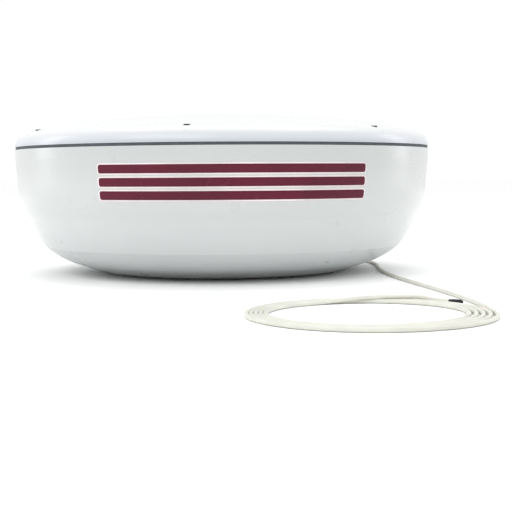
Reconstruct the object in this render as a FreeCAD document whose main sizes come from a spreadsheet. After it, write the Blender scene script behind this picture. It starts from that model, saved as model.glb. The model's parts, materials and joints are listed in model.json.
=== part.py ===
import FreeCAD, Part
import math
import os
import re

import Sketcher

# A closed-array marine radar: a two-part radome that holds a spinning slotted array, its drive and
# its electronics, with the interconnect cable coiled beside it. Millimetres, +Z up, the front is
# towards -Y, and the origin is the centre of the plane that the feet rest on.

SIZES = {
    # radome
    "dome_radius": 326, "foot_height": 4, "floor_wall": 5, "shell_wall": 5,
    "foot_radius": 196, "heel_radius": 235, "heel_height": 16.5, "heel_curve": 138,
    "hip_radius": 283, "hip_height": 44, "hip_curve": 275,
    "side_radius": 309, "side_height": 93, "side_curve": 92,
    "waist_radius": 322.4, "waist_height": 136, "band_height": 178, "rim_height": 193,
    "rim_width": 14, "rim_depth": 7,
    # lid
    "lid_base": 197.2, "lid_corner_height": 201, "lid_corner_curve": 24, "lid_shoulder_radius": 305,
    "lid_shoulder_height": 220.5, "lid_shoulder_curve": 400, "lid_dome_radius": 250,
    "lid_dome_height": 233.5, "lid_crown": 247, "lid_wall": 4,
    "gasket_inner": 313, "gasket_outer": 325.4, "gasket_top": 197,
    # lid screws
    "screw_circle": 304, "boss_radius": 10, "column_radius": 8.5, "boss_bottom": 140, "fit_gap": 0.3,
    "screw_radius": 2.5, "screw_head_radius": 3.9, "screw_head_height": 5, "screw_bottom": 178,
    "screw_seat": 206, "seal_thickness": 1.2, "counterbore_radius": 4.1, "insert_length": 16,
    "insert_outer": 4.5, "insert_bore": 2.58,
    # mounting
    "mount_spacing_x": 160, "mount_spacing_y": 230, "mount_bore": 3.4, "mount_insert_outer": 6,
    "mount_insert_length": 16, "mount_boss_radius": 11, "pad_radius": 22, "pad_circle": 165,
    "vent_radius": 5, "vent_x": -60, "vent_y": 150,
    # cable entry
    "notch_width": 60, "notch_wall_y": 213, "notch_height": 53, "notch_wall": 6, "entry_height": 26,
    "gland_end": 251, "gland_thread": 8, "cable_radius": 2.5,
    # chassis and bearings
    "chassis_length": 300, "chassis_width": 260, "chassis_base": 30, "chassis_thickness": 4,
    "chassis_screw_x": 140, "chassis_screw_y": 120, "bearing_outer": 23.5, "bearing_bore": 12.5,
    "race_outer_bore": 20, "race_inner_outer": 15.5, "bearing_width": 12, "lower_bearing": 44,
    "upper_bearing": 99, "tube_radius": 27, "tube_top": 113, "flange_radius": 45,
    "flange_thickness": 6, "ball_radius": 2.2,
    # drive
    "gear_module": 1.25, "gear_teeth": 96, "pinion_teeth": 16, "gear_base": 116, "gear_width": 8,
    "motor_side": 56, "motor_length": 50, "motor_top": 104, "bracket_plate": 4,
    "motor_shaft_radius": 4, "gear_backlash": 0.12, "shaft_bore": 6, "shaft_bottom": 38,
    "shaft_top": 130, "shaft_flange": 40, "sensor_distance": 46,
    # array
    "array_length": 556, "array_base": 140, "array_height": 60, "array_depth": 24,
    "array_sheet": 3, "array_wall": 2,
    # boards
    "board_length": 130, "board_width": 70, "board_thickness": 1.6, "board_base": 44,
    "board_x": -30, "board_y": 88, "modulator_x": 100, "modulator_y": 85, "modulator_length": 80,
    "guide_x": 110, "guide_width": 25, "guide_height": 13, "guide_base": 12,
    # stripes
    "stripe_gap": 0.05, "stripe_thickness": 0.4, "stripe_sweep": 69, "stripe_middle": 3,
    # coil of spare cable
    "coil_x": 158, "coil_y": -610, "coil_outer": 140, "coil_inner": 109, "coil_height": 10.8,
}

# The lid screws stand in two groups of three, one at the front and one behind; degrees from +X.
SCREW_ANGLES = (-153, -99, -45, 27, 81, 135)
FIRST_PAD_ANGLE = -115
# Each stripe's lower and upper edge.
STRIPE_BANDS = ((156, 168), (138, 150), (120, 132))

doc = FreeCAD.newDocument("radar_dome_antenna")
sheet = doc.addObject("Spreadsheet::Sheet", "Dims")
for row, (alias, value) in enumerate(SIZES.items(), start=1):
    sheet.set(f"A{row}", alias)
    sheet.set(f"B{row}", str(value))
    sheet.setAlias(f"B{row}", alias)
doc.recompute()

NODES = []
ALIAS = re.compile(r"\b(" + "|".join(sorted(SIZES, key=len, reverse=True)) + r")\b")
AXES = {
    "Z": FreeCAD.Rotation(),
    "Y": FreeCAD.Rotation(FreeCAD.Vector(1, 0, 0), -90),
    "X": FreeCAD.Rotation(FreeCAD.Vector(0, 1, 0), 90),
}


def dim(alias):
    """The value of a driving dimension, read back from the sheet."""
    return float(sheet.get(alias))


def bind(piece, prop, text):
    """Binds a property to a formula written with the sheet's aliases."""
    piece.setExpression(prop, ALIAS.sub(r"Dims.\1", str(text)))


def place(piece, x, y, z, rotation=AXES["Z"]):
    piece.Placement = FreeCAD.Placement(FreeCAD.Vector(), rotation)
    for axis, text in zip("xyz", (x, y, z)):
        bind(piece, f"Placement.Base.{axis}", text)
    return piece


def rod(radius, length, x, y, z, along="Z"):
    """A cylinder that starts at x, y, z and runs along an axis."""
    piece = doc.addObject("Part::Cylinder", "rod")
    bind(piece, "Radius", radius)
    bind(piece, "Height", length)
    return place(piece, x, y, z, AXES[along])


def taper(radius_start, radius_end, length, x, y, z, along="Z"):
    piece = doc.addObject("Part::Cone", "taper")
    bind(piece, "Radius1", radius_start)
    bind(piece, "Radius2", radius_end)
    bind(piece, "Height", length)
    return place(piece, x, y, z, AXES[along])


def block(length, width, height, x, y, z):
    """A box centred on x and y that stands on z."""
    piece = doc.addObject("Part::Box", "block")
    for prop, text in zip(("Length", "Width", "Height"), (length, width, height)):
        bind(piece, prop, text)
    return place(piece, f"({x}) - ({length}) / 2", f"({y}) - ({width}) / 2", z)


def hexagon(flats, length, x, y, z, along="Z"):
    piece = doc.addObject("Part::Prism", "hexagon")
    piece.Polygon = 6
    bind(piece, "Circumradius", f"({flats}) / sqrt(3)")
    bind(piece, "Height", length)
    return place(piece, x, y, z, AXES[along])


def fuse(*pieces):
    joined = doc.addObject("Part::MultiFuse", "joined")
    joined.Shapes = list(pieces)
    return joined


def cut(base, *tools):
    result = doc.addObject("Part::Cut", "cut")
    result.Base = base
    result.Tool = tools[0] if len(tools) == 1 else fuse(*tools)
    return result


def common(base, tool):
    result = doc.addObject("Part::Common", "common")
    result.Base = base
    result.Tool = tool
    return result


def group(*pieces):
    """Separate solids that share one node."""
    result = doc.addObject("Part::Compound", "group")
    result.Links = list(pieces)
    return result


def node(label, piece):
    """Names a finished sub-part, whose label is also its file's name."""
    piece.Label = label
    NODES.append(piece)
    return piece


def tube(outer, inner, length, x, y, z, along="Z"):
    """A round sleeve whose bore runs right through."""
    return cut(rod(outer, length, x, y, z, along), rod(inner, length, x, y, z, along))


def at_angles(maker, angles):
    """Makes a piece at each angle; maker takes the angle's cosine and sine as texts."""
    return [maker(f"cos({angle} deg)", f"sin({angle} deg)") for angle in angles]


def around(maker, count, start=0.0):
    """Makes a piece at each of count equal steps."""
    step = 360.0 / count
    return at_angles(maker, [start + step * index for index in range(count)])


def corners(maker, x, y, middle_x=0, middle_y=0):
    """Makes a piece at each corner of a rectangle with half sides x and y."""
    signs = ((1, 1), (-1, 1), (-1, -1), (1, -1))
    return [maker(f"({middle_x}) + ({x}) * {a}", f"({middle_y}) + ({y}) * {b}") for a, b in signs]


def turned(points, sweep=None):
    """A solid of revolution about Z. Each point is (radius, height) or (radius, height, curve),
    where curve is the radius of an arc from the point before, negative when it bends inwards."""
    body = doc.addObject("PartDesign::Body", "turned")
    sketch = body.newObject("Sketcher::SketchObject", "profile")
    plane = [item for item in body.Origin.OriginFeatures if item.Role == "XZ_Plane"][0]
    sketch.AttachmentSupport = [(plane, "")]
    sketch.MapMode = "FlatFace"
    spots = [FreeCAD.Vector(number(point[0]), number(point[1]), 0) for point in points]
    ends = []
    for index, spot in enumerate(spots):
        bend = points[index][2] if len(points[index]) > 2 else None
        ends.append(add_edge(sketch, spots[index - 1], spot, bend))
    for index, point in enumerate(points):
        geometry, start, finish = ends[index]
        following, next_start, _ = ends[(index + 1) % len(points)]
        sketch.addConstraint(Sketcher.Constraint("Coincident", geometry, finish, following, next_start))
        for kind, text in (("DistanceX", point[0]), ("DistanceY", point[1])):
            spot = spots[index].x if kind == "DistanceX" else spots[index].y
            fixed = Sketcher.Constraint(kind, -1, 1, geometry, finish, spot)
            bind(sketch, f"Constraints[{sketch.addConstraint(fixed)}]", text)
        if len(point) > 2:
            curve = Sketcher.Constraint("Radius", geometry, abs(number(point[2])))
            bind(sketch, f"Constraints[{sketch.addConstraint(curve)}]", f"abs({point[2]})")
    revolution = body.newObject("PartDesign::Revolution", "revolution")
    revolution.Profile = sketch
    revolution.ReferenceAxis = (sketch, ["V_Axis"])
    bind(revolution, "Angle", sweep or 360)
    return body


def number(text):
    """The value of a formula now, for a sketch's first shape."""
    return float(sheet.evalExpression(ALIAS.sub(r"Dims.\1", str(text))))


def add_edge(sketch, start, finish, curve):
    """Adds a line or an arc, and tells which of its ends is the start and which the finish."""
    if curve is None:
        return sketch.addGeometry(Part.LineSegment(start, finish), False), 1, 2
    radius = number(curve)
    chord = finish - start
    rise = abs(radius) - math.sqrt(radius ** 2 - (chord.Length / 2) ** 2)
    side = FreeCAD.Vector(chord.y, -chord.x, 0).normalize() * math.copysign(rise, radius)
    geometry = sketch.addGeometry(Part.Arc(start, (start + finish) / 2 + side, finish), False)
    swapped = (sketch.getPoint(geometry, 1) - start).Length > 1e-6
    return (geometry, 2, 1) if swapped else (geometry, 1, 2)


def make_radome():
    outline = [
        ("foot_radius", "foot_height"),
        ("heel_radius", "heel_height"),
        ("hip_radius", "hip_height", "heel_curve"),
        ("side_radius", "side_height", "hip_curve"),
        ("waist_radius", "waist_height", "side_curve"),
        ("dome_radius", "band_height"),
        ("dome_radius", "rim_height"),
    ]
    inside = [
        ("dome_radius - rim_width", "rim_height"),
        ("dome_radius - rim_width", "rim_height - rim_depth"),
        ("dome_radius - shell_wall", "rim_height - 2 * rim_depth"),
        ("waist_radius - shell_wall", "waist_height + 0.4"),
        ("side_radius - shell_wall * 0.95", "side_height + shell_wall * 0.35", "-(side_curve - shell_wall)"),
        ("hip_radius - shell_wall * 0.78", "hip_height + shell_wall * 0.62", "-(hip_curve - shell_wall)"),
        ("heel_radius - shell_wall * 0.4", "heel_height + shell_wall * 0.92", "-(heel_curve - shell_wall)"),
        ("foot_radius - 2", "foot_height + floor_wall"),
        ("0", "foot_height + floor_wall"),
        ("0", "foot_height"),
    ]
    bowl = turned(outline + inside)
    filled = turned(outline + [("0", "rim_height"), ("0", "foot_height")])
    hump = common(
        block("notch_width + 2 * notch_wall", 130, "notch_height + notch_wall - foot_height",
              0, "notch_wall_y - notch_wall + 65", "foot_height"),
        filled,
    )
    bosses = at_angles(
        lambda c, s: rod("boss_radius", "rim_height - boss_bottom", f"screw_circle * {c}",
                         f"screw_circle * {s}", "boss_bottom"), SCREW_ANGLES)
    feet = at_angles(
        lambda c, s: taper(2, "boss_radius", 22, f"(screw_circle + 7) * {c}",
                           f"(screw_circle + 7) * {s}", "boss_bottom - 22"), SCREW_ANGLES)
    webs = [turned_copy(block(16, 6, "rim_height - boss_bottom", "screw_circle + 8", 0, "boss_bottom"), angle)
            for angle in SCREW_ANGLES]
    stands = corners(
        lambda x, y: rod(8, "chassis_base - foot_height - 1", x, y, "foot_height + 1"),
        "chassis_screw_x", "chassis_screw_y")
    sockets = corners(
        lambda x, y: rod("mount_boss_radius", "mount_insert_length + 5", x, y, "foot_height"),
        "mount_spacing_x / 2", "mount_spacing_y / 2")
    solid = fuse(bowl, hump, *bosses, *feet, *webs, *stands, *sockets)
    holes = [
        block("notch_width", 200, "notch_height + 20", 0, "notch_wall_y + 100", -20),
        rod("gland_thread", "notch_wall + 20", 0, "notch_wall_y - notch_wall - 10", "entry_height", "Y"),
        rod("vent_radius", 20, "vent_x", "vent_y", -2),
    ]
    holes += at_angles(
        lambda c, s: rod("insert_outer", "insert_length + 6", f"screw_circle * {c}",
                         f"screw_circle * {s}", "rim_height - insert_length"), SCREW_ANGLES)
    holes += corners(
        lambda x, y: rod("mount_insert_outer", "mount_insert_length + 3", x, y, "foot_height - 3"),
        "mount_spacing_x / 2", "mount_spacing_y / 2")
    holes += corners(
        lambda x, y: rod(2, 40, x, y, "chassis_base - 16"), "chassis_screw_x", "chassis_screw_y")
    node("lower_housing", cut(solid, *holes))


def turned_copy(piece, angle):
    """The same piece swung about Z by an angle in degrees."""
    swung = doc.addObject("App::Link", "swung")
    swung.setLink(piece)
    spin = FreeCAD.Placement(FreeCAD.Vector(), FreeCAD.Rotation(FreeCAD.Vector(0, 0, 1), angle))
    doc.recompute()
    swung.Placement = spin.multiply(piece.Placement)
    return swung


def crown_curve(radius):
    """The radius of the sphere that is level on the axis and drops to the dome's edge at a radius."""
    drop = "(lid_crown - lid_dome_height)"
    return f"(({radius}) ^ 2 + {drop} ^ 2) / (2 * {drop})"


def make_lid():
    shell = turned([
        ("dome_radius", "lid_base"),
        ("dome_radius", "lid_corner_height"),
        ("lid_shoulder_radius", "lid_shoulder_height", "lid_corner_curve"),
        ("lid_dome_radius", "lid_dome_height", "lid_shoulder_curve"),
        ("0", "lid_crown", crown_curve("lid_dome_radius")),
        ("0", "lid_crown - lid_wall"),
        ("lid_dome_radius - 0.6", "lid_dome_height - lid_wall", f"-({crown_curve('lid_dome_radius - 0.6')})"),
        ("lid_shoulder_radius - 1.6", "lid_shoulder_height - lid_wall", "-(lid_shoulder_curve - lid_wall)"),
        ("dome_radius - 9", "lid_corner_height + 6", "-(lid_corner_curve - lid_wall)"),
        ("dome_radius - rim_width", "lid_base"),
    ])
    columns = at_angles(
        lambda c, s: rod("column_radius", "lid_shoulder_height - rim_height - 2", f"screw_circle * {c}",
                         f"screw_circle * {s}", "rim_height + fit_gap"), SCREW_ANGLES)
    ribs = [turned_copy(block(14, 3, 14, "screw_circle + 10", 0, "lid_base + 2"), angle)
            for angle in SCREW_ANGLES]
    bores = at_angles(
        lambda c, s: rod("screw_radius + 0.5", 60, f"screw_circle * {c}", f"screw_circle * {s}",
                         "rim_height - 10"), SCREW_ANGLES)
    sinks = at_angles(
        lambda c, s: rod("counterbore_radius", 40, f"screw_circle * {c}", f"screw_circle * {s}",
                         "screw_seat - seal_thickness"), SCREW_ANGLES)
    node("upper_cover", cut(fuse(shell, *columns, *ribs), *bores, *sinks))
    node("rim_gasket", turned([
        ("gasket_inner", "rim_height"),
        ("gasket_outer - 0.6", "rim_height"),
        ("gasket_outer", "(rim_height + gasket_top) / 2"),
        ("gasket_outer - 0.6", "gasket_top"),
        ("gasket_inner", "gasket_top"),
    ]))


def cover_screw(cosine, sine):
    x, y = f"screw_circle * {cosine}", f"screw_circle * {sine}"
    head = cut(
        rod("screw_head_radius", "screw_head_height", x, y, "screw_seat"),
        hexagon(4, 4, x, y, "screw_seat + screw_head_height - 3"))
    return fuse(head, rod("screw_radius", "screw_seat - screw_bottom", x, y, "screw_bottom"))


def make_fasteners():
    node("cover_screws", group(*at_angles(cover_screw, SCREW_ANGLES)))
    node("cover_screw_seals", group(*at_angles(
        lambda c, s: tube("screw_head_radius", "screw_radius", "seal_thickness", f"screw_circle * {c}",
                          f"screw_circle * {s}", "screw_seat - seal_thickness"), SCREW_ANGLES)))
    node("cover_inserts", group(*at_angles(
        lambda c, s: tube("insert_outer", "insert_bore", "insert_length", f"screw_circle * {c}",
                          f"screw_circle * {s}", "rim_height - insert_length"), SCREW_ANGLES)))
    node("mounting_inserts", group(*corners(
        lambda x, y: tube("mount_insert_outer", "mount_bore", "mount_insert_length", x, y, "foot_height"),
        "mount_spacing_x / 2", "mount_spacing_y / 2")))
    node("rest_pads", group(*around(
        lambda c, s: rod("pad_radius", "foot_height", f"pad_circle * {c}", f"pad_circle * {s}", 0), 4,
        FIRST_PAD_ANGLE)))
    node("breather_vent", fuse(
        rod("vent_radius", 9, "vent_x", "vent_y", 3), rod("vent_radius + 3", 2, "vent_x", "vent_y", 2)))


def wall_radius(height):
    """The radius of the bowl's outside between the side and the band."""
    if height > dim("waist_height"):
        share = (height - dim("waist_height")) / (dim("band_height") - dim("waist_height"))
        return dim("waist_radius") + share * (dim("dome_radius") - dim("waist_radius"))
    low = FreeCAD.Vector(dim("side_radius"), dim("side_height"), 0)
    high = FreeCAD.Vector(dim("waist_radius"), dim("waist_height"), 0)
    chord = high - low
    reach = math.sqrt(dim("side_curve") ** 2 - (chord.Length / 2) ** 2)
    centre = (low + high) / 2 + FreeCAD.Vector(-chord.y, chord.x, 0).normalize() * reach
    return centre.x + math.sqrt(dim("side_curve") ** 2 - (height - centre.y) ** 2)


def stripe(low, high):
    """A thin band on the front of the bowl, which follows its wall."""
    heights = [low + (high - low) * step / 4 for step in range(5)]
    near = [(wall_radius(height) + dim("stripe_gap"), height) for height in heights]
    far = [(radius + dim("stripe_thickness"), height) for radius, height in reversed(near)]
    band = turned(near + far, "stripe_sweep")
    turn = number("-90 + stripe_middle - stripe_sweep / 2")
    band.Placement = FreeCAD.Placement(FreeCAD.Vector(), FreeCAD.Rotation(FreeCAD.Vector(0, 0, 1), turn))
    return band


def make_stripes():
    node("side_stripes", group(*[stripe(low, high) for low, high in STRIPE_BANDS]))


def make_cable_entry():
    wall = "notch_wall_y"
    bore = rod("cable_radius", 120, 0, "notch_wall_y - 40", "entry_height", "Y")
    body = fuse(
        rod("gland_thread", "notch_wall + 8", 0, f"{wall} - notch_wall - 8", "entry_height", "Y"),
        hexagon(24, 6, 0, wall, "entry_height", "Y"),
        rod(9, 10, 0, f"{wall} + 6", "entry_height", "Y"))
    node("gland_body", cut(body, rod(6, 10, 0, f"{wall} + 8", "entry_height", "Y"), bore))
    node("gland_seal", tube(6, "cable_radius", 8, 0, f"{wall} + 8", "entry_height", "Y"))
    nut = fuse(
        hexagon(23, 9, 0, f"{wall} + 16", "entry_height", "Y"),
        taper(10, 5, "gland_end - notch_wall_y - 25", 0, f"{wall} + 25", "entry_height", "Y"))
    node("gland_nut", cut(nut, bore))
    node("gland_locknut", cut(
        hexagon(24, 5, 0, f"{wall} - notch_wall - 5", "entry_height", "Y"),
        rod("gland_thread", 30, 0, f"{wall} - 20", "entry_height", "Y")))


def cable(route, radius):
    """A round cable along straight runs that tangent arcs join, and its smallest arc radius."""
    points = [FreeCAD.Vector(*spot) for spot in route]
    edges, start, radii = [], points[0], []
    for before, corner, after in zip(points, points[1:], points[2:]):
        arriving, leaving = corner - before, after - corner
        turn = arriving.getAngle(leaving)
        shorter = min(arriving.Length, leaving.Length)
        radii.append(0.45 * shorter / math.tan(turn / 2))
        back = 0.45 * shorter
        first = corner - FreeCAD.Vector(arriving).normalize() * back
        last = corner + FreeCAD.Vector(leaving).normalize() * back
        middle = arc_middle(corner, first, last, radii[-1])
        edges += [Part.LineSegment(start, first).toShape(), Part.Arc(first, middle, last).toShape()]
        start = last
    edges.append(Part.LineSegment(start, points[-1]).toShape())
    path = Part.Wire(edges)
    ring = Part.Wire(Part.Circle(points[0], points[1] - points[0], radius).toShape())
    shape = path.makePipeShell([ring], True, True)
    print(f"cable: {path.Length:.0f} mm long, tightest arc {min(radii):.0f} mm,",
          f"volume against section times length {shape.Volume / (math.pi * radius ** 2 * path.Length):.4f}")
    return shape


def arc_middle(corner, first, last, radius):
    """The middle of the arc of that radius that touches both runs at a corner."""
    chord_middle = (first + last) / 2
    inward = FreeCAD.Vector(chord_middle - corner).normalize()
    half_chord = (last - first).Length / 2
    sagitta = radius - math.sqrt(radius ** 2 - half_chord ** 2)
    return chord_middle - inward * sagitta


LEAD_ROUTE = [
    (0, 251, 26), (0, 268, 25.5), (3, 292, 17), (14, 314, 8), (34, 328, 3), (64, 332, 2.7),
    (106, 321, 2.7), (151, 293, 2.7), (191, 254, 2.7), (222, 207, 2.7), (243, 155, 2.7), (254, 98, 2.7),
    (256, 40, 2.7), (250, -18, 2.7), (247, -82, 2.7), (250, -148, 2.7), (257, -214, 2.7),
    (266, -279, 2.7), (276, -344, 2.7), (285, -409, 2.7), (292, -474, 2.7), (296, -540, 2.7),
    (295, -598, 2.7),
]
LOOM_ROUTE = [(0, 251, 26), (0, 184, 26), (-4, 161, 40), (-15, 140, 51), (-28, 118, 50.5)]
FEED_ROUTE = [(0, 0, 141), (0, 0, 150), (0, 3, 158), (0, 6.8, 163)]


def make_cables():
    lead = doc.addObject("Part::Feature", "lead")
    lead.Shape = cable(LEAD_ROUTE, dim("cable_radius"))
    node("cable_lead", lead)
    loom = doc.addObject("Part::Feature", "loom")
    loom.Shape = cable(LOOM_ROUTE, dim("cable_radius") - 0.05)
    node("wiring_harness", fuse(loom, block(20, 10, 10, -28, 114, "board_base + board_thickness")))
    node("cable_coil", cut(
        rod("coil_outer", "coil_height", "coil_x", "coil_y", 0),
        rod("coil_inner", "coil_height", "coil_x - 5", "coil_y + 4", 0)))
    end = fuse(
        taper("cable_radius", "cable_radius + 0.4", 4, 0, 0, 0, "X"),
        rod("cable_radius + 0.4", 10, 4, 0, 0, "X"),
        taper("cable_radius + 0.4", 1.8, 3, 14, 0, 0, "X"))
    end.Placement = FreeCAD.Placement(
        FreeCAD.Vector(265.2, -506.5, 3), FreeCAD.Rotation(FreeCAD.Vector(0, 0, 1), -32))
    node("cable_end_plug", end)


def make_chassis():
    chassis_top = "chassis_base + chassis_thickness"
    plate = block("chassis_length", "chassis_width", "chassis_thickness", 0, 0, "chassis_base")
    slot = block("guide_width + 6", "guide_height + 6", 20, "guide_x", 0, "chassis_base - 8")
    screw_holes = corners(
        lambda x, y: rod(2.2, 20, x, y, "chassis_base - 8"), "chassis_screw_x", "chassis_screw_y")
    node("chassis_plate", cut(plate, rod(15, 20, 0, 0, "chassis_base - 8"), slot, *screw_holes))
    node("chassis_screws", group(*corners(
        lambda x, y: pan_screw(x, y, chassis_top, 2, 4, 12), "chassis_screw_x", "chassis_screw_y")))
    node("bearing_housing", turned([
        ("race_outer_bore - 2", chassis_top),
        ("flange_radius", chassis_top),
        ("flange_radius", "chassis_base + chassis_thickness + flange_thickness"),
        ("tube_radius + 4", "chassis_base + chassis_thickness + flange_thickness"),
        ("tube_radius", "chassis_base + chassis_thickness + flange_thickness + 4"),
        ("tube_radius", "tube_top"),
        ("bearing_outer", "tube_top"),
        ("bearing_outer", "upper_bearing"),
        ("race_outer_bore + 0.5", "upper_bearing"),
        ("race_outer_bore + 0.5", "lower_bearing + bearing_width"),
        ("bearing_outer", "lower_bearing + bearing_width"),
        ("bearing_outer", "lower_bearing"),
        ("race_outer_bore - 2", "lower_bearing"),
    ]))
    node("bearing_housing_screws", group(*around(
        lambda c, s: pan_screw(f"37 * {c}", f"37 * {s}", f"{chassis_top} + flange_thickness", 2, 3.6, 0),
        4, 45)))


def pan_screw(x, y, seat, shank, head, length):
    """A round-head screw with a cross recess, seated at a height."""
    cap = cut(
        rod(head, 2.6, x, y, seat),
        block(f"{head} * 1.2", 0.9, 3, x, y, f"{seat} + 1.6"),
        block(0.9, f"{head} * 1.2", 3, x, y, f"{seat} + 1.6"))
    return fuse(cap, rod(shank, length, x, y, f"{seat} - {length}")) if length else cap


def make_bearing(name, base):
    outer, inner = "bearing_outer", "bearing_bore"
    groove = rod("race_outer_bore + 1", "bearing_width - 4", 0, 0, f"{base} + 2")
    node(f"{name}_outer_ring", cut(tube(outer, "race_outer_bore", "bearing_width", 0, 0, base), groove))
    node(f"{name}_inner_ring", tube("race_inner_outer", inner, "bearing_width", 0, 0, base))
    pitch = "(race_outer_bore + race_inner_outer) / 2"
    balls = []
    for angle in range(0, 360, 40):
        ball = doc.addObject("Part::Sphere", "ball")
        bind(ball, "Radius", "ball_radius")
        place(ball, f"{pitch} * cos({angle} deg)", f"{pitch} * sin({angle} deg)",
              f"{base} + bearing_width / 2")
        balls.append(ball)
    node(f"{name}_balls", group(*balls))


def gear_face(teeth, phase):
    """The outline of a stub involute gear, with a tooth centred at the phase angle."""
    pitch = dim("gear_module") * teeth / 2
    base = pitch * math.cos(math.radians(20))
    root, tip = pitch - 1.1 * dim("gear_module"), pitch + 0.8 * dim("gear_module")
    half = (math.pi * dim("gear_module") / 2 - dim("gear_backlash")) / 2 / pitch
    flank_start = max(base, root + 0.1)
    flank = [(root, None)] + [(flank_start + (tip - flank_start) * step / 3, step) for step in range(4)]

    def half_angle(radius):
        pressure = math.acos(min(1.0, base / max(radius, base)))
        at_pitch = math.tan(math.radians(20)) - math.radians(20)
        return half + at_pitch - (math.tan(pressure) - pressure)

    points = []
    for tooth in range(teeth):
        middle = phase + 2 * math.pi * tooth / teeth
        rising = [(radius, middle - half_angle(radius)) for radius, _ in flank]
        falling = [(radius, middle + half_angle(radius)) for radius, _ in reversed(flank)]
        points += [FreeCAD.Vector(r * math.cos(a), r * math.sin(a), 0) for r, a in rising + falling]
    return Part.Face(Part.makePolygon(points + points[:1]))


def gear(teeth, phase, x, z):
    blank = doc.addObject("Part::Feature", "gear")
    blank.Shape = gear_face(teeth, phase).extrude(FreeCAD.Vector(0, 0, dim("gear_width")))
    return place(blank, x, 0, z)


def make_drive():
    centres = "gear_module * (gear_teeth + pinion_teeth) / 2"
    windows = around(lambda c, s: rod(9, 30, f"36 * {c}", f"36 * {s}", "gear_base - 5"), 6, 30)
    node("drive_gear", cut(gear(96, math.pi / 96, 0, "gear_base"),
                           rod("bearing_bore", 30, 0, 0, "gear_base - 5"), *windows))
    node("motor_pinion", cut(gear(16, 0, f"-{centres}", "gear_base"),
                             rod("motor_shaft_radius", 30, f"-{centres}", 0, "gear_base - 5")))
    node("motor_shaft", rod("motor_shaft_radius", "gear_base + gear_width + 2 - motor_top",
                            f"-{centres}", 0, "motor_top"))
    motor = fuse(
        block("motor_side", "motor_side", "motor_length - 16", f"-{centres}", 0,
              "motor_top - motor_length + 8"),
        block("motor_side - 1", "motor_side - 1", 8, f"-{centres}", 0, "motor_top - motor_length"),
        block("motor_side - 1", "motor_side - 1", 8, f"-{centres}", 0, "motor_top - 8"))
    node("motor_body", motor)
    chassis_top = "chassis_base + chassis_thickness"
    half = "motor_side / 2 + 4"
    legs = []
    for side in ("", "-"):
        legs.append(block(50, 3, f"motor_top - {chassis_top}", f"-{centres}", f"{side}({half})", chassis_top))
        legs.append(block(50, 16, 3, f"-{centres}", f"{side}({half} + 6)", chassis_top))
    deck = block("motor_side", "motor_side + 11", "bracket_plate", f"-{centres}", 0, "motor_top")
    node("motor_bracket", cut(fuse(deck, *legs), rod(10, 20, f"-{centres}", 0, "motor_top - 5")))
    top_screws = corners(
        lambda x, y: pan_screw(x, y, "motor_top + bracket_plate", 2, 3, 0), 23.5, 23.5, f"-{centres}")
    foot_screws = corners(
        lambda x, y: pan_screw(x, y, f"{chassis_top} + 3", 2, 3, 0), 18, f"{half} + 8", f"-{centres}")
    node("motor_screws", group(*top_screws, *foot_screws))
    node("index_sensor", block(10, 12, 5, "-sensor_distance", 0, "motor_top + bracket_plate"))
    node("index_magnet", rod(3, 2, "-sensor_distance", 0, "gear_base - 2"))


def make_antenna():
    node("antenna_shaft", turned([
        ("shaft_bore", "shaft_bottom"),
        ("bearing_bore - 1", "shaft_bottom"),
        ("bearing_bore", "shaft_bottom + 1"),
        ("bearing_bore", "gear_base + gear_width"),
        ("shaft_flange", "gear_base + gear_width"),
        ("shaft_flange", "shaft_top"),
        ("shaft_bore", "shaft_top"),
    ]))
    plate = block(80, 50, 5, 0, 0, "shaft_top")
    wall = block(160, 5, 26, 0, 15.5, "shaft_top")
    gusset = block(6, 44, "array_base - shaft_top - 4.3", 30, -3, "shaft_top + 4")
    gusset_left = block(6, 44, "array_base - shaft_top - 4.3", -30, -3, "shaft_top + 4")
    node("antenna_bracket", cut(fuse(plate, wall, gusset, gusset_left), rod(8, 20, 0, 0, "shaft_top - 5")))
    base, length = "array_base", "array_length"
    sheet_back = block(length, "array_sheet", "array_height", 0, 11.5, base)
    upper_lip = block(length, 12, "array_sheet", 0, 7, "array_base + array_height")
    ribs = [block(4, 6, "array_height - 8", x, 16, "array_base + 18") for x in (-240, -160, 160, 240)]
    node("array_backplate", fuse(sheet_back, upper_lip, *ribs))
    board = block("array_length - 20", 1.6, "array_height - 10", 0, 9.2, "array_base + 4")
    slots = []
    for index in range(-13, 14):
        lean = 2 if index % 2 else -2
        slots.append(block(3, 4, 24, 20 * index + 4, 9.2, f"array_base + 16 + {lean}"))
    node("array_board", cut(board, *slots))
    front = block(length, "array_wall", "array_height", 0, -11, base)
    low = block(length, "array_depth - 4", "array_wall", 0, -1.5, base)
    high = block(length, "array_depth - 12", "array_wall", 0, -6, "array_base + array_height - array_wall")
    ridges = [block(length, 1.2, 2, 0, -12.6, f"array_base + {step}") for step in (12, 24, 36, 48)]
    node("array_cover", cut(fuse(front, low, high, *ridges), rod(5, 10, 0, 0, "array_base - 3")))
    node("array_end_caps", group(*[
        block(3, "array_depth + 2", "array_height + 3", x, 0, base)
        for x in ("array_length / 2 + 1.5", "-(array_length / 2 + 1.5)")]))
    feed = doc.addObject("Part::Feature", "feed")
    feed.Shape = cable(FEED_ROUTE, 1.8)
    node("feed_cable", feed)
    node("rotary_joint_rotor", fuse(
        rod("shaft_bore", 20, 0, 0, "shaft_top - 12"), rod(4, 3, 0, 0, "shaft_top + 8")))


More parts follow.
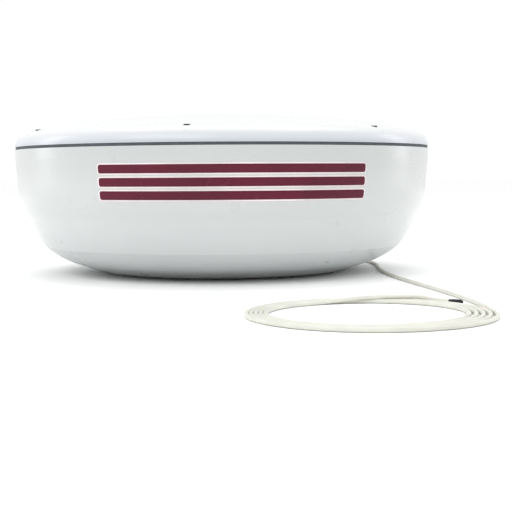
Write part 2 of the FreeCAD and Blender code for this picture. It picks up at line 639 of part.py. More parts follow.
def make_microwave():
    width, tall, base = "guide_width", "guide_height", "guide_base"
    node("rotary_joint_stator", fuse(
        rod("shaft_bore - 1", 86, 0, 0, "chassis_base - 5"), rod(14, 4, 0, 0, "chassis_base - 5")))
    node("waveguide", fuse(
        block("guide_x + guide_width / 2 + 14", width, tall, "(guide_x + guide_width / 2 - 14) / 2", 0, base),
        block(width, tall, 46, "guide_x", 0, base),
        block("guide_width + 5", "guide_height + 5", 3, "guide_x", 0, "guide_base + 43")))
    node("circulator", fuse(
        block(40, 36, 22, "guide_x", 0, "guide_base + 46"),
        rod(14, 6, "guide_x", 0, "guide_base + 68"),
        block(22, 4, 18, "guide_x", 20, "guide_base + 48"),
        block(22, 4, 18, "guide_x", -20, "guide_base + 48")))
    tube_y = "-62"
    fins = [rod(19, 1.5, "guide_x", tube_y, f"guide_base + {level}") for level in (42, 47, 66, 71)]
    node("magnetron", fuse(
        rod(14, 52, "guide_x", tube_y, "chassis_base + chassis_thickness"),
        block(20, 26, 12, "guide_x", -35, "guide_base + 51"), *fins))
    node("magnetron_magnets", group(*[
        block(8, 30, 40, f"guide_x + {offset}", tube_y, "chassis_base + chassis_thickness")
        for offset in (24, -24)]))
    node("receiver_module", fuse(
        block(44, 20, 26, "guide_x", 32.3, "guide_base + 44"),
        rod(3, 8, "guide_x + 14", 32, "guide_base + 68")))


def circuit_board(label, x, y, length):
    board = block(length, "board_width", "board_thickness", x, y, "board_base")
    holes = corners(lambda a, b: rod(1.6, 10, a, b, "board_base - 4"),
                    f"({length}) / 2 - 5", "board_width / 2 - 5", x, y)
    return node(label, cut(board, *holes))


def standoff(x, y, base):
    length = f"board_base - ({base})"
    return cut(hexagon(5, length, x, y, base), rod(1.5, length, x, y, base))


def make_electronics():
    top = "board_base + board_thickness"
    chassis_top = "chassis_base + chassis_thickness"
    spots = [("board_x", "-board_y", "board_length"), ("board_x", "board_y", "board_length"),
             ("modulator_x", "modulator_y", "modulator_length")]
    names = ("power_board", "processor_board", "modulator_board")
    standoffs, screws = [], []
    for label, (x, y, length) in zip(names, spots):
        circuit_board(label, x, y, length)
        reach = (f"({length}) / 2 - 5", "board_width / 2 - 5", x, y)
        standoffs += corners(lambda a, b: standoff(a, b, chassis_top), *reach)
        screws += corners(lambda a, b: pan_screw(a, b, top, 1.5, 2.8, 4), *reach)
    node("board_standoffs", group(*standoffs))
    node("board_screws", group(*screws))
    node("power_components", group(
        rod(9, 26, -75, -100, top), rod(9, 26, -52, -100, top), rod(6, 18, -30, -108, top),
        block(28, 24, 18, -62, -70, top), block(34, 14, 16, 8, -104, top), block(24, 30, 12, 0, -74, top)))
    node("shield_can", cut(block(56, 40, 9, -20, 84, top), block(54, 38, 8, -20, 84, f"{top} - 1")))
    node("pulse_transformer", fuse(
        block(34, 30, 20, 92, 76, top), block(24, 38, 14, 92, 76, f"{top} + 3")))
    fins = [block(2, 54, 22, -140 + 6 * step, 86, f"{chassis_top} + 3") for step in range(6)]
    node("heat_sink", fuse(block(34, 54, 4, -125, 86, chassis_top), *fins))


def export():
    doc.recompute()
    for item in doc.Objects:
        if "Invalid" in item.State or "Error" in item.State:
            raise RuntimeError(f"{item.Name} ({item.Label}) failed: {item.State}")
    for piece in NODES:
        if piece.Shape.isNull() or not piece.Shape.isValid() or not piece.Shape.Solids:
            raise RuntimeError(f"{piece.Label} has no sound solid")
    os.makedirs("parts", exist_ok=True)
    for piece in NODES:
        piece.Shape.exportStep(f"parts/{piece.Label}.step")
    print(len(NODES), "sub-parts written")


make_radome()
make_lid()
make_fasteners()
make_stripes()
make_cable_entry()
make_cables()
make_chassis()
make_bearing("lower_bearing", "lower_bearing")
make_bearing("upper_bearing", "upper_bearing")
make_drive()
make_antenna()
make_microwave()
make_electronics()
export()
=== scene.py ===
import json
import math

import bmesh
import bpy
from mathutils import Matrix, Vector
from mathutils.bvhtree import BVHTree


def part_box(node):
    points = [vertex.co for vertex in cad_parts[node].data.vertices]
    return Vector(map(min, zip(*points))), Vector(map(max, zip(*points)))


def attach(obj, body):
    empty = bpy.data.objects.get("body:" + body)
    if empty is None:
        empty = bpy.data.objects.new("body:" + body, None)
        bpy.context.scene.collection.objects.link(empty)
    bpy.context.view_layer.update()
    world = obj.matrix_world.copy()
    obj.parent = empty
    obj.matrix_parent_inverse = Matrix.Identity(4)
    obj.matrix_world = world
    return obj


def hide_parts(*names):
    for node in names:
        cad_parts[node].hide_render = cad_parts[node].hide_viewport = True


# The looks of a closed-array marine radar with its cable: metres, in the frame of the CAD model.

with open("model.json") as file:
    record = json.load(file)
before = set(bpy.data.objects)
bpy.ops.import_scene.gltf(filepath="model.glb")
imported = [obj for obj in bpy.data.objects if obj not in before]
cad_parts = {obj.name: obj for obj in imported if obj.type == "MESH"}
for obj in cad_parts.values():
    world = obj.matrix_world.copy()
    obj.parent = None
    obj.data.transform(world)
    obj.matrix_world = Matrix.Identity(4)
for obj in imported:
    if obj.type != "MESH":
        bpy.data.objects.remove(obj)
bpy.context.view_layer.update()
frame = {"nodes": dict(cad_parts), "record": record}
NODES = frame["nodes"]
RECORD = frame["record"]

# ---------------------------------------------------------------- camera and stage

CAMERA_DISTANCE = 1.826
CAMERA_HEIGHT = 0.153
CAMERA_LENS = 79.6
CAMERA_YAW = 1.65
CAMERA_PITCH = -4.1
CAMERA_ROLL = -0.35


def make_camera():
    data = bpy.data.cameras.new("camera")
    data.lens = CAMERA_LENS
    data.sensor_width = 36.0
    data.clip_end = 60.0
    camera = bpy.data.objects.new("camera", data)
    bpy.context.scene.collection.objects.link(camera)
    yaw = Matrix.Rotation(math.radians(-CAMERA_YAW), 4, "Z")
    pitch = Matrix.Rotation(math.radians(90 + CAMERA_PITCH), 4, "X")
    roll = Matrix.Rotation(math.radians(CAMERA_ROLL), 4, "Z")
    place = Matrix.Translation((0, -CAMERA_DISTANCE, CAMERA_HEIGHT))
    camera.matrix_world = place @ yaw @ pitch @ roll
    bpy.context.scene.camera = camera


def area_light(name, spot, aim, size, power, tint=(1, 1, 1)):
    data = bpy.data.lights.new(name, "AREA")
    data.shape = "RECTANGLE"
    data.size, data.size_y = size
    data.energy = power
    data.color = tint
    light = bpy.data.objects.new(name, data)
    bpy.context.scene.collection.objects.link(light)
    light.location = spot
    light.rotation_euler = (Vector(aim) - Vector(spot)).to_track_quat("-Z", "Y").to_euler()


def make_stage():
    world = bpy.data.worlds.new("studio")
    bpy.context.scene.world = world
    world.use_nodes = True
    background = world.node_tree.nodes["Background"]
    background.inputs["Color"].default_value = (1.0, 1.0, 1.0, 1)
    background.inputs["Strength"].default_value = 1.02
    bpy.context.scene.view_settings.view_transform = "Standard"
    reach = 30.0
    mesh = bpy.data.meshes.new("floor")
    mesh.from_pydata([(-reach, -reach, 0), (reach, -reach, 0), (reach, reach, 0), (-reach, reach, 0)],
                     [], [(0, 1, 2, 3)])
    floor = bpy.data.objects.new("floor", mesh)
    bpy.context.scene.collection.objects.link(floor)
    paper = Shader("floor_paper")
    paper.vary_colour(paper.noise(0.8, 2), (0.965, 0.965, 0.965), (0.975, 0.975, 0.975))
    paper.set(Roughness=0.9)
    paper.socket("Specular IOR Level", 0.1)
    mesh.materials.append(paper.material)
    area_light("key", (-1.5, -2.3, 2.3), (0, 0, 0.1), (2.4, 1.2), 18)
    area_light("top", (0.1, 0.5, 2.8), (0, 0, 0), (3.2, 2.0), 26)
    area_light("left_edge", (-2.2, 0.5, 0.7), (0, 0, 0.12), (0.5, 1.6), 6)
    area_light("right_edge", (2.2, 0.6, 0.7), (0, 0, 0.12), (0.5, 1.6), 5)


# ---------------------------------------------------------------- shader helper


class Shader:
    """A Principled material with helpers for procedural variation."""

    def __init__(self, name):
        self.material = bpy.data.materials.new(name)
        self.material.use_nodes = True
        self.tree = self.material.node_tree
        self.surface = self.tree.nodes["Principled BSDF"]

    def socket(self, name, value):
        self.surface.inputs[name].default_value = value
        return self

    def set(self, **values):
        for name, value in values.items():
            self.socket(name.replace("_", " "), value)
        return self

    def add(self, kind, **values):
        node = self.tree.nodes.new(kind)
        for name, value in values.items():
            if name in node.inputs:
                node.inputs[name].default_value = value
            else:
                setattr(node, name, value)
        return node

    def link(self, source, target):
        self.tree.links.new(source, target)

    def place(self, scale=(1, 1, 1)):
        coordinates = self.add("ShaderNodeTexCoord")
        mapping = self.add("ShaderNodeMapping")
        mapping.inputs["Scale"].default_value = scale
        self.link(coordinates.outputs["Object"], mapping.inputs["Vector"])
        return mapping.outputs["Vector"]

    def noise(self, scale, detail=3.0, stretch=(1, 1, 1), roughness=0.5):
        node = self.add("ShaderNodeTexNoise", Scale=scale, Detail=detail, Roughness=roughness)
        self.link(self.place(stretch), node.inputs["Vector"])
        return node.outputs["Fac"]

    def ramp(self, source, stops):
        node = self.add("ShaderNodeValToRGB")
        ramp = node.color_ramp
        ramp.interpolation = "EASE"
        while len(ramp.elements) < len(stops):
            ramp.elements.new(0.5)
        for element, (spot, colour) in zip(ramp.elements, stops):
            element.position = spot
            element.color = (*colour, 1)
        self.link(source, node.inputs["Fac"])
        return node.outputs["Color"]

    def vary_colour(self, source, dark, light, low=0.3, high=0.7):
        self.link(self.ramp(source, [(low, dark), (high, light)]), self.surface.inputs["Base Color"])
        return self

    def vary_rough(self, source, low, high):
        node = self.add("ShaderNodeMapRange")
        node.inputs["To Min"].default_value = low
        node.inputs["To Max"].default_value = high
        self.link(source, node.inputs["Value"])
        self.link(node.outputs["Result"], self.surface.inputs["Roughness"])
        return self

    def height_shade(self, colour_source, stops, low, high):
        """Painted shade: multiplies a colour by a ramp over the height between low and high, in metres."""
        coordinates = self.add("ShaderNodeTexCoord")
        split = self.add("ShaderNodeSeparateXYZ")
        self.link(coordinates.outputs["Object"], split.inputs["Vector"])
        level = self.add("ShaderNodeMapRange")
        level.inputs["From Min"].default_value = low
        level.inputs["From Max"].default_value = high
        self.link(split.outputs["Z"], level.inputs["Value"])
        mix = self.add("ShaderNodeMix", data_type="RGBA", blend_type="MULTIPLY")
        mix.inputs["Factor"].default_value = 1.0
        self.link(colour_source, mix.inputs[6])
        self.link(self.ramp(level.outputs["Result"], stops), mix.inputs[7])
        self.link(mix.outputs[2], self.surface.inputs["Base Color"])
        return self

    def bump(self, source, strength, distance):
        node = self.add("ShaderNodeBump", Strength=strength, Distance=distance)
        self.link(source, node.inputs["Height"])
        self.link(node.outputs["Normal"], self.surface.inputs["Normal"])
        return self


def shade(colour, factor):
    return tuple(min(1.0, channel * factor) for channel in colour)


# ---------------------------------------------------------------- materials


def gelcoat(name, colour, stops, low, high):
    """Moulded glass-fibre shell: glossy, with a faint orange peel, and painted shade from a ramp over the
    height that darkens it low on the wall and towards its top.
    """
    look = Shader(name)
    cloudy = look.ramp(look.noise(3.2, 4, (1, 1, 1.6)), [(0.3, shade(colour, 0.96)), (0.7, colour)])
    # Painted shade: the colour is multiplied by the height ramp given in stops.
    look.height_shade(cloudy, stops, low, high)
    look.vary_rough(look.noise(26, 5), 0.24, 0.34)
    look.bump(look.noise(60, 1), 0.015, 0.0006)
    look.socket("Coat Weight", 0.35).socket("Coat Roughness", 0.22).socket("Specular IOR Level", 0.45)
    return look.material


def moulded(name, colour, grain=420, rough=(0.42, 0.58), relief=0.18):
    look = Shader(name)
    look.vary_colour(look.noise(grain * 0.2, 4), shade(colour, 0.88), shade(colour, 1.06))
    look.vary_rough(look.noise(grain * 0.5, 3), *rough)
    look.bump(look.noise(grain, 3), relief, 0.0004)
    return look.material


def rubber(name, colour):
    look = moulded(name, colour, 260, (0.62, 0.82), 0.3)
    look.node_tree.nodes["Principled BSDF"].inputs["Specular IOR Level"].default_value = 0.3
    return look


def metal(name, colour, stretch=(1, 1, 1), rough=(0.22, 0.4), grain=180, relief=0.08):
    look = Shader(name)
    look.set(Metallic=1.0)
    streaks = look.noise(grain, 5, stretch, 0.65)
    look.vary_colour(streaks, shade(colour, 0.84), shade(colour, 1.05))
    look.vary_rough(streaks, *rough)
    look.bump(look.noise(grain * 2, 3, stretch), relief, 0.0003)
    return look.material


def painted(name, colour, rough=(0.3, 0.45)):
    look = Shader(name)
    look.vary_colour(look.noise(40, 5), shade(colour, 0.8), shade(colour, 1.15))
    look.vary_rough(look.noise(90, 4), *rough)
    look.bump(look.noise(600, 2), 0.12, 0.0003)
    return look.material


def circuit(name):
    """Green solder mask over copper tracks."""
    look = Shader(name)
    tracks = look.add("ShaderNodeTexVoronoi", Scale=120.0)
    tracks.feature = "DISTANCE_TO_EDGE"
    tracks.distance = "MANHATTAN" if hasattr(tracks, "distance") else "EUCLIDEAN"
    look.link(look.place((1, 1, 0.02)), tracks.inputs["Vector"])
    lines = look.ramp(tracks.outputs["Distance"], [(0.0, (0.09, 0.34, 0.15)), (0.09, (0.02, 0.15, 0.07))])
    look.link(lines, look.surface.inputs["Base Color"])
    look.vary_rough(look.noise(200, 3), 0.28, 0.42)
    look.bump(tracks.outputs["Distance"], 0.12, 0.0003)
    return look.material


def film(name, colour):
    """Printed vinyl: satin, with the small unevenness of a squeegeed film."""
    look = Shader(name)
    look.vary_colour(look.noise(9, 4), shade(colour, 0.86), shade(colour, 1.12))
    look.vary_rough(look.noise(60, 3), 0.2, 0.32)
    look.bump(look.noise(220, 2), 0.05, 0.0003)
    look.socket("Specular IOR Level", 0.22)
    return look.material


def jacket(name, colour):
    """PVC cable jacket: soft gloss, faint scuffs and a slight ripple from the extruder."""
    look = Shader(name)
    look.vary_colour(look.noise(34, 5), shade(colour, 0.9), colour)
    look.vary_rough(look.noise(180, 4), 0.32, 0.5)
    look.bump(look.noise(700, 2), 0.12, 0.0003)
    look.socket("Subsurface Weight", 0.06)
    return look.material


LOOKS = {
    # Painted shade: the housing is darkened near its base and slightly towards the seam under the lid, and
    # left full at mid-height.
    "housing_white": lambda n: gelcoat(
        n, (0.60, 0.625, 0.61),
        [(0.0, (0.72, 0.72, 0.73)), (0.13, (0.94, 0.95, 0.97)), (0.4, (1.0, 1.0, 1.02)),
         (0.8, (0.95, 0.95, 0.96)), (1.0, (0.90, 0.90, 0.91))],
        0.0, 0.17),
    # Painted shade: the lid is bluish-grey low on its side above the gasket, white on its shoulder, and a
    # little greyer at the crown.
    "lid_white": lambda n: gelcoat(
        n, (0.70, 0.71, 0.715),
        [(0.0, (0.72, 0.75, 0.81)), (0.17, (0.86, 0.88, 0.92)), (0.38, (1, 1, 1)), (0.55, (1, 1, 1)),
         (1.0, (0.90, 0.905, 0.915))],
        0.197, 0.247),
    "gasket_grey": lambda n: rubber(n, (0.085, 0.095, 0.105)),
    "stainless": lambda n: metal(n, (0.62, 0.62, 0.61), (1, 1, 6)),
    "brass": lambda n: metal(n, (0.76, 0.57, 0.28), (1, 1, 5)),
    "seal_black": lambda n: rubber(n, (0.025, 0.025, 0.027)),
    "pad_grey": lambda n: rubber(n, (0.12, 0.125, 0.13)),
    "stripe_burgundy": lambda n: film(n, (0.105, 0.008, 0.026)),
    "stripe_outline": lambda n: film(n, (0.86, 0.76, 0.77)),
    "gland_grey": lambda n: moulded(n, (0.22, 0.23, 0.24)),
    "cable_white": lambda n: jacket(n, (0.72, 0.72, 0.645)),
    "cable_tip": lambda n: rubber(n, (0.02, 0.021, 0.023)),
    "chassis_aluminium": lambda n: metal(n, (0.70, 0.71, 0.72), (1, 14, 1), (0.28, 0.46)),
    "cast_aluminium": lambda n: metal(n, (0.52, 0.53, 0.54), (1, 1, 1), (0.45, 0.65), 320, 0.5),
    "bearing_steel": lambda n: metal(n, (0.72, 0.72, 0.73), (1, 1, 8), (0.1, 0.2)),
    "shaft_steel": lambda n: metal(n, (0.58, 0.58, 0.60), (1, 1, 10), (0.2, 0.34)),
    "gear_nylon": lambda n: moulded(n, (0.78, 0.75, 0.66)),
    "motor_black": lambda n: painted(n, (0.045, 0.046, 0.05)),
    "sensor_black": lambda n: moulded(n, (0.03, 0.03, 0.032)),
    "magnet_dark": lambda n: painted(n, (0.09, 0.09, 0.1), (0.5, 0.7)),
    "board_green": circuit,
    "array_grey": lambda n: moulded(n, (0.70, 0.71, 0.68), 160),
    "guide_copper": lambda n: metal(n, (0.70, 0.42, 0.26), (6, 1, 1), (0.26, 0.42)),
    "component_blue": lambda n: moulded(n, (0.04, 0.06, 0.17)),
    "transformer_brown": lambda n: moulded(n, (0.25, 0.13, 0.05), 300, (0.25, 0.4)),
    "tin_plate": lambda n: metal(n, (0.68, 0.69, 0.69), (1, 4, 1), (0.2, 0.36)),
}
MATERIALS = {}


def look_of(slot):
    if slot not in MATERIALS:
        MATERIALS[slot] = LOOKS[slot](slot + "_look")
    return MATERIALS[slot]


def dress_frame():
    """Every CAD node takes the finished material of its slot."""
    slots = {item["node"]: item["material_slot"] for item in RECORD["subparts"]}
    for name, thing in NODES.items():
        thing.data.materials.clear()
        thing.data.materials.append(look_of(slots[name]))


# ---------------------------------------------------------------- cable

CABLE_DIAMETER = 0.005
# From the gland to the end connector: the lead of 1.1 m and the turns of the coil.
MM = 0.001
LEAD_ROUTE = [
    (0, 251, 26), (0, 268, 25.5), (3, 292, 17), (14, 314, 8), (34, 328, 3), (64, 332, 2.7),
    (106, 321, 2.7), (151, 293, 2.7), (191, 254, 2.7), (222, 207, 2.7), (243, 155, 2.7), (254, 98, 2.7),
    (256, 40, 2.7), (250, -18, 2.7), (247, -82, 2.7), (250, -148, 2.7), (257, -214, 2.7),
    (266, -279, 2.7), (276, -344, 2.7), (285, -409, 2.7), (292, -474, 2.7), (296, -540, 2.7),
    (295, -598, 2.7),
]
# The turns run clockwise from the right, each inside the last; angles in degrees, radii in metres.
COIL_TURNS = 4 + 245 / 360
COIL_START = -10.0
COIL_STEP = 14.98
COIL_RADIUS = 0.1375
FLOOR_LEVEL = 2.7 * MM
# The last turn climbs over the others at the far side and comes out beyond them.
WAY_OUT = [(92, 0.1128, 6.5), (80, 0.117, 7.9), (68, 0.126, 7.9), (57, 0.136, 7.9), (49.5, 0.1442, 3.6)]


def strand_gap(angle):
    """How far one turn lies inside the last: tight at the left and the far side, fanned at the right."""
    fan = max(0.0, math.cos(math.radians(angle + 34)))
    return CABLE_DIAMETER * (1.04 + 0.55 * fan ** 1.5)


def coil_points(centre):
    steps = int(COIL_TURNS * 360 / COIL_STEP)
    points = []
    for index in range(steps + 1):
        turns = index * COIL_STEP / 360
        angle = COIL_START - index * COIL_STEP
        radius = COIL_RADIUS - turns * strand_gap(angle)
        where = math.radians(angle)
        points.append((centre.x + radius * math.cos(where), centre.y + radius * math.sin(where), FLOOR_LEVEL))
    for angle, radius, height in WAY_OUT:
        where = math.radians(angle)
        points.append((centre.x + radius * math.cos(where), centre.y + radius * math.sin(where), height * MM))
    return points


def plug_root():
    """Where the cable meets its end connector, which points right and towards the front."""
    low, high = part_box("cable_end_plug")
    lean = math.radians(32)
    return Vector((low.x + 2.5 * MM * math.sin(lean), high.y - 2.5 * MM * math.cos(lean), 3 * MM))


def make_cable():
    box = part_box("cable_coil")
    tip = plug_root()
    route = [tuple(value * MM for value in spot) for spot in LEAD_ROUTE]
    route += coil_points((box[0] + box[1]) / 2) + [tuple(tip)]
    curve = bpy.data.curves.new("interconnect_cable", "CURVE")
    curve.dimensions = "3D"
    curve.bevel_depth = CABLE_DIAMETER / 2
    curve.bevel_resolution = 4
    curve.use_fill_caps = True
    curve.resolution_u = 6
    spline = curve.splines.new("NURBS")
    spline.points.add(len(route) - 1)
    for point, spot in zip(spline.points, route):
        point.co = (*spot, 1)
    spline.order_u = 3
    spline.use_endpoint_u = True
    cable = bpy.data.objects.new("interconnect_cable", curve)
    bpy.context.scene.collection.objects.link(cable)
    curve.materials.append(look_of("cable_white"))
    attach(cable, "housing")
    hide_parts("cable_lead", "cable_coil")


# ---------------------------------------------------------------- pieces on the radome


def new_piece(name, points, faces, slot, body, smooth=True, replaced=()):
    """A mesh piece in the CAD model's frame, which rides on one of its bodies."""
    mesh = bpy.data.meshes.new(name)
    mesh.from_pydata([tuple(point) for point in points], [], faces)
    shape = bmesh.new()
    shape.from_mesh(mesh)
    bmesh.ops.recalc_face_normals(shape, faces=shape.faces)
    shape.to_mesh(mesh)
    shape.free()
    for face in mesh.polygons:
        face.use_smooth = smooth
    piece = bpy.data.objects.new(name, mesh)
    bpy.context.scene.collection.objects.link(piece)
    mesh.materials.append(look_of(slot))
    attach(piece, body)
    if replaced:
        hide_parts(*replaced)
    return piece


def wall_finder():
    """A function that gives the radius of the housing's outside at an angle and a height."""
    mesh = bmesh.new()
    mesh.from_mesh(NODES["lower_housing"].data)
    tree = BVHTree.FromBMesh(mesh)
    mesh.free()

    def radius(angle, height):
        outward = Vector((math.cos(angle), math.sin(angle), 0))
        hit, _, _, _ = tree.ray_cast(outward * 0.5 + Vector((0, 0, height)), -outward)
        return math.hypot(hit.x, hit.y)

    return radius


def film_patch(wall, sweep, low, high, rounding, gap, thickness):
    """Points and faces of a thin film on the wall, with round corners; sweep is a pair of angles."""
    start, finish = sweep
    middle, half = (low + high) / 2, (high - low) / 2
    length = (finish - start) * wall((start + finish) / 2, middle)
    edge = [rounding * (1 - math.cos(math.radians(step * 15))) for step in range(7)]
    inner = [edge[-1] + (length - 2 * edge[-1]) * step / 90 for step in range(1, 90)]
    stations = edge + inner + [length - spot for spot in reversed(edge)]
    rows = 5
    points = []
    for side in (gap, gap + thickness):
        for spot in stations:
            into = min(spot, length - spot)
            inset = max(0.0, rounding - into)
            bite = rounding - math.sqrt(max(0.0, rounding ** 2 - inset ** 2))
            reach = half - bite
            angle = start + (finish - start) * spot / length
            for row in range(rows):
                height = middle - reach + 2 * reach * row / (rows - 1)
                radius = wall(angle, height) + side
                points.append((radius * math.cos(angle), radius * math.sin(angle), height))
    count = len(stations)
    layer = count * rows
    faces = []
    for column in range(count - 1):
        for row in range(rows - 1):
            a = column * rows + row
            quad = (a, a + rows, a + rows + 1, a + 1)
            faces += [quad, tuple(index + layer for index in reversed(quad))]
        for row in (0, rows - 1):
            a = column * rows + row
            faces.append((a, a + rows, a + rows + layer, a + layer))
    for column in (0, count - 1):
        for row in range(rows - 1):
            a = column * rows + row
            faces.append((a, a + 1, a + 1 + layer, a + layer))
    return points, faces


def make_stripes():
    wall = wall_finder()
    reach = math.radians(34.5)
    middle = math.radians(-87)
    bands = ((156, 168), (138, 150), (120, 132))
    margin = 0.002
    for name, slot, extra, gap, thickness in (
            ("stripe_outlines", "stripe_outline", margin, 0.00008, 0.00012),
            ("stripe_films", "stripe_burgundy", 0.0, 0.00026, 0.00014)):
        points, faces = [], []
        for bottom, top in bands:
            grow = extra / wall(middle, 0.15)
            patch, quads = film_patch(
                wall, (middle - reach - grow, middle + reach + grow), bottom * MM - extra,
                top * MM + extra, 0.003 + extra, gap, thickness)
            faces += [tuple(index + len(points) for index in quad) for quad in quads]
            points += patch
        new_piece(name, points, faces, slot, "housing",
                  replaced=("side_stripes",) if slot == "stripe_burgundy" else ())


def turned_rings(profile, spots, sides=40):
    """Points and faces of one closed turned profile, repeated at each spot; (radius, height) pairs."""
    points, faces = [], []
    for centre in spots:
        first = len(points)
        for radius, height in profile:
            for side in range(sides):
                angle = 2 * math.pi * side / sides
                across, along = radius * math.cos(angle), radius * math.sin(angle)
                points.append((centre.x + across, centre.y + along, height))
        for row in range(len(profile)):
            for side in range(sides):
                a = first + row * sides + side
                b = first + row * sides + (side + 1) % sides
                c = first + ((row + 1) % len(profile)) * sides + (side + 1) % sides
                d = first + ((row + 1) % len(profile)) * sides + side
                faces.append((a, b, c, d))
    return points, faces


# Where the lid's screws stand, as in the frame.
SCREW_CIRCLE = 0.304
SCREW_ANGLES = (-153, -99, -45, 27, 81, 135)


def screw_spots():
    turns = [math.radians(angle) for angle in SCREW_ANGLES]
    return [Vector((SCREW_CIRCLE * math.cos(turn), SCREW_CIRCLE * math.sin(turn), 0)) for turn in turns]


def make_recess_shade_rings():
    """A dark rubber ring lines each sunk screw hole in the lid, just proud of the shell; it is painted shade
    that stands in for the shadow inside the hole.
    """
    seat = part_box("cover_screws")[1].z
    rim = seat + 0.0106
    profile = [(0.00385, seat + 0.001), (0.00405, seat + 0.001), (0.00405, rim - 0.0028),
               (0.0047, rim - 0.0020), (0.0049, rim - 0.0010), (0.0046, rim - 0.0003), (0.0040, rim),
               (0.00385, rim - 0.0004)]
    points, faces = turned_rings(profile, screw_spots())
    new_piece("screw_recess_shade_rings", points, faces, "seal_black", "cover")


def make_strain_relief():
    """A ribbed sleeve that tapers from the gland nut to the cable, and keeps it from kinking."""
    low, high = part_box("gland_nut")
    middle = (low + high) / 2
    start, length = high.y - 0.003, 0.022
    thick, thin, bore = 0.0047, 0.0033, 0.00225
    ribs, steps, deepest = 6, 60, 0.00045
    profile = []
    for step in range(steps + 1):
        share = step / steps
        wave = max(0.0, math.sin(2 * math.pi * ribs * share))
        groove = deepest * wave ** 0.5 if 0.1 < share < 0.95 else 0
        profile.append((thick + (thin - thick) * share - groove, start + length * share))
    profile += [(bore, start + length), (bore, start)]
    points, faces = turned_rings(profile, [Vector((0, 0, 0))])
    turned = [(middle.x + x, z, middle.z + y) for x, y, z in points]
    new_piece("strain_relief", turned, faces, "gland_grey", "housing")


# ---------------------------------------------------------------- pieces on the boards


class Parcel:
    """Collects small bevelled shapes that make one piece."""

    def __init__(self):
        self.shape = bmesh.new()

    def block(self, centre, size, bevel=0.0004, turn=0.0):
        place = Matrix.Translation(centre) @ Matrix.Rotation(turn, 4, "Z") @ Matrix.Diagonal((*size, 1))
        made = bmesh.ops.create_cube(self.shape, size=1.0, matrix=place)
        edges = {edge for corner in made["verts"] for edge in corner.link_edges}
        bmesh.ops.bevel(self.shape, geom=list(edges), offset=bevel, segments=2, affect="EDGES", profile=0.6)

    def can(self, spot, radius, height, crimp=0.0):
        """A round can that stands on a spot, with rounded top edge and an optional crimp."""
        rounding = 0.0008
        profile = [(0.0, 0.0), (radius, 0.0), (radius, height * 0.12), (radius - crimp, height * 0.2),
                   (radius, height * 0.28), (radius, height - rounding), (radius - rounding, height),
                   (0.0, height)]
        sides = 24
        rings = []
        for reach, level in profile:
            count = 1 if reach == 0 else sides
            rings.append([self.shape.verts.new((
                spot[0] + reach * math.cos(2 * math.pi * side / sides),
                spot[1] + reach * math.sin(2 * math.pi * side / sides), spot[2] + level))
                for side in range(count)])
        for lower, upper in zip(rings, rings[1:]):
            for side in range(sides):
                ahead = (side + 1) % sides
                corners = [lower[side % len(lower)], lower[ahead % len(lower)],
                           upper[ahead % len(upper)], upper[side % len(upper)]]
                self.shape.faces.new(list(dict.fromkeys(corners)))

    def finish(self, name, slot, body):
        mesh = bpy.data.meshes.new(name)
        bmesh.ops.recalc_face_normals(self.shape, faces=self.shape.faces)
        self.shape.to_mesh(mesh)
        self.shape.free()
        piece = bpy.data.objects.new(name, mesh)
        bpy.context.scene.collection.objects.link(piece)
        mesh.materials.append(look_of(slot))
        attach(piece, body)
        return piece


def chip(bodies, legs, x, y, z, wide, deep, pins):
    """A flat chip package with gull-wing legs along its two long sides."""
    bodies.block((x, y, z + 0.0011), (wide, deep, 0.0016))
    pitch = wide * 0.86 / pins
    for index in range(pins):
        along = x - wide * 0.43 + pitch * (index + 0.5)
        for side in (-1, 1):
            legs.block((along, y + side * (deep / 2 + 0.0007), z + 0.0004),
                       (pitch * 0.45, 0.0016, 0.0003), 0.00006)


# Sizes of the small parts, in metres.
CHIP_RESISTOR = (0.0030, 0.0015, 0.0010)
POWER_RESISTOR = (0.0062, 0.0024, 0.0022)
PULSE_RESISTOR = (0.0058, 0.0024, 0.0022)
HEADER_PIN = (0.0007, 0.0007, 0.0022)


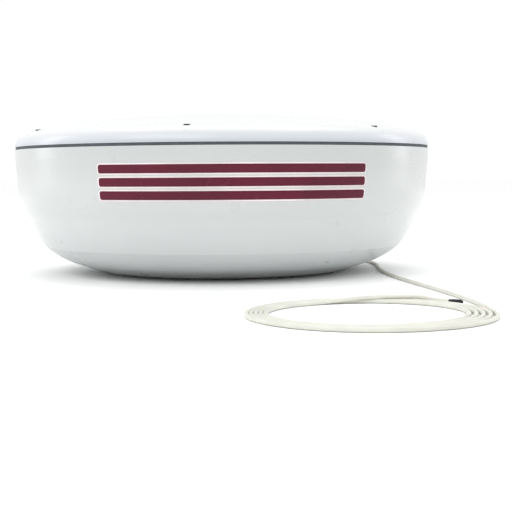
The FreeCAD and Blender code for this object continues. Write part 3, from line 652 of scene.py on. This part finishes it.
def populate_boards():
    """Chips, resistors, cans and connectors on the three boards; each kind is one piece."""
    chips, legs, cans, resistors, plugs = (Parcel() for _ in range(5))
    low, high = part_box("processor_board")
    top = high.z + 0.0001
    for column in range(4):
        for row in range(2):
            x, y = low.x + 0.018 + 0.017 * column, low.y + 0.012 + 0.008 * row
            chip(chips, legs, x, y, top, 0.012, 0.005, 7)
    chip(chips, legs, high.x - 0.014, high.y - 0.028, top, 0.016, 0.014, 10)
    for step in range(16):
        along_front = (low.x + 0.014 + 0.0064 * step, low.y + 0.0045, top + 0.0005)
        along_left = (low.x + 0.006, low.y + 0.012 + 0.0030 * step, top + 0.0005)
        resistors.block(along_front, CHIP_RESISTOR, 0.0002)
        resistors.block(along_left, CHIP_RESISTOR, 0.0002)
    for step in range(3):
        cans.can((high.x - 0.010, low.y + 0.014 + 0.011 * step, top), 0.0042, 0.0095, 0.0005)
    plugs.block((high.x - 0.035, high.y - 0.007, top + 0.0035), (0.024, 0.007, 0.007))
    for step in range(9):
        spot = (high.x - 0.0446 + 0.0024 * step, high.y - 0.007, top + 0.0078)
        legs.block(spot, HEADER_PIN, 0.0001)
    low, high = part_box("power_board")
    top = high.z + 0.0001
    for step in range(9):
        spot = (low.x + 0.048 + 0.0078 * step, high.y - 0.006, top + 0.0011)
        resistors.block(spot, POWER_RESISTOR, 0.0007)
    chip(chips, legs, low.x + 0.075, low.y + 0.034, top, 0.010, 0.006, 6)
    cans.can((high.x - 0.012, low.y + 0.040, top), 0.0048, 0.012, 0.0006)
    cans.can((high.x - 0.012, low.y + 0.053, top), 0.0048, 0.012, 0.0006)
    plugs.block((low.x + 0.0085, low.y + 0.036, top + 0.0045), (0.008, 0.030, 0.009))
    low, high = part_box("modulator_board")
    top = high.z + 0.0001
    for step in range(8):
        spot = (low.x + 0.014 + 0.0074 * step, high.y - 0.0045, top + 0.0011)
        resistors.block(spot, PULSE_RESISTOR, 0.0007)
    for step in range(3):
        cans.can((high.x - 0.011, low.y + 0.020 + 0.013 * step, top), 0.0050, 0.014, 0.0006)
    chip(chips, legs, low.x + 0.012, low.y + 0.048, top, 0.010, 0.006, 6)
    chips.finish("board_chips", "sensor_black", "housing")
    legs.finish("board_pins", "tin_plate", "housing")
    cans.finish("board_capacitors", "tin_plate", "housing")
    resistors.finish("board_resistors", "component_blue", "housing")
    plugs.finish("board_connectors", "array_grey", "housing")


def detail_motor():
    """Stator laminations seen between the motor's end caps."""
    low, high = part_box("motor_body")
    plates = Parcel()
    middle = (low + high) / 2
    side = high.x - low.x + 0.0006
    count = 14
    bottom, top = low.z + 0.0095, high.z - 0.0095
    for index in range(count):
        level = bottom + (top - bottom) * (index + 0.5) / count
        plates.block((middle.x, middle.y, level), (side, side, (top - bottom) / count * 0.62), 0.0005)
    plates.finish("motor_laminations", "shaft_steel", "housing")


make_camera()
make_cable()
make_stage()
dress_frame()
make_stripes()
make_recess_shade_rings()
make_strain_relief()
populate_boards()
detail_motor()
